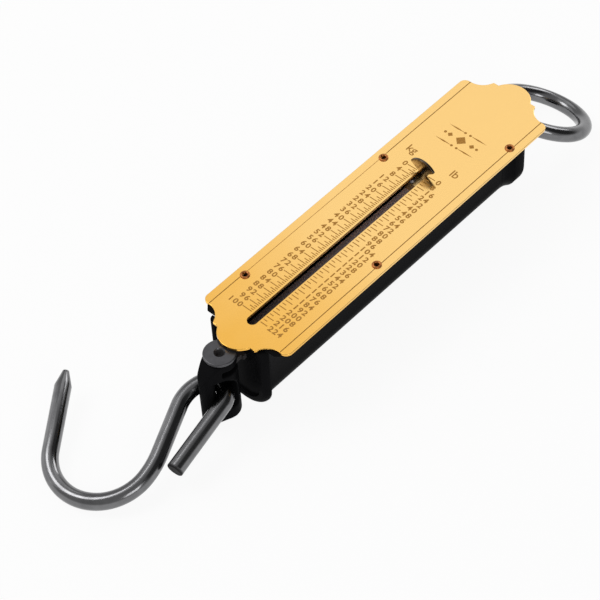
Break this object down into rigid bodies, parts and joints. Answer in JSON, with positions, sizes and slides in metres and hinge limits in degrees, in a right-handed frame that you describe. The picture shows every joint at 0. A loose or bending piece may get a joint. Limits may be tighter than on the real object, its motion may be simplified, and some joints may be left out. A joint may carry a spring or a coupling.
{
  "type": "luggage scale",
  "caption": "Pocket spring balance lying on its back: engraved brass face with a slot and pointer, black trough casing, carrying ring, swivelling eye and bent steel hook.",
  "frame": {"origin": "on the casing's flat back, under the middle of the face plate", "axes": "+X across the face towards the pounds side, +Y along the scale towards the carrying ring, +Z out of the face"},
  "size_m": [0.0797, 0.2955, 0.046],
  "materials": {
    "plate_brass": "satin lacquered brass",
    "pointer_brass": "stamped brass sheet",
    "inner_brass": "machined brass",
    "black_paint": "satin black paint",
    "black_iron": "black painted iron",
    "pin_steel": "dark polished steel",
    "ring_steel": "bright drawn steel",
    "hook_steel": "bright drawn steel",
    "inner_steel": "plain steel",
    "spring_steel": "oiled spring wire"
  },
  "bodies": {
    "balance": {"face_plate": "plate_brass", "plate_rivets": "plate_brass", "casing": "black_paint", "lower_cap": "black_paint", "upper_cap": "black_paint", "cap_rivets": "black_paint", "guide_bush": "black_iron", "ring_eye": "ring_steel", "ring_eye_washer": "inner_steel", "ring_eye_nut": "inner_steel", "spring_anchor": "inner_steel", "anchor_pin": "inner_steel", "main_spring": "spring_steel"},
    "pull": {"drawbar": "inner_steel", "spring_carrier": "inner_steel", "slider": "inner_brass", "slider_rivets": "inner_steel", "pointer": "pointer_brass", "pointer_rivet": "inner_brass"},
    "eye": {"eye_block": "black_iron", "pivot_pin": "pin_steel", "pivot_washer": "inner_brass"},
    "load": {"hook": "hook_steel"},
    "carry": {"ring": "ring_steel"}
  },
  "joints": [
    {"name": "drawbar_slide", "type": "slide", "parent": "balance", "child": "pull", "axis": [0, -1, 0], "range_m": [0, 0.0991], "stiffness_N_per_m": 9807, "deforming": ["main_spring"]},
    {"name": "eye_swivel", "type": "hinge", "parent": "pull", "child": "eye", "pos_m": [0, -0.0944, 0.028], "axis": [0, 0, 1], "range_deg": [-60, 60]},
    {"name": "hook_swing", "type": "hinge", "parent": "eye", "child": "load", "pos_m": [0, -0.09605, 0.0162], "axis": [1, 0, 0], "range_deg": [-50, 35]},
    {"name": "ring_swing", "type": "hinge", "parent": "balance", "child": "carry", "pos_m": [0, 0.0884, 0.0198], "axis": [1, 0, 0], "range_deg": [-60, 115]}
  ]
}
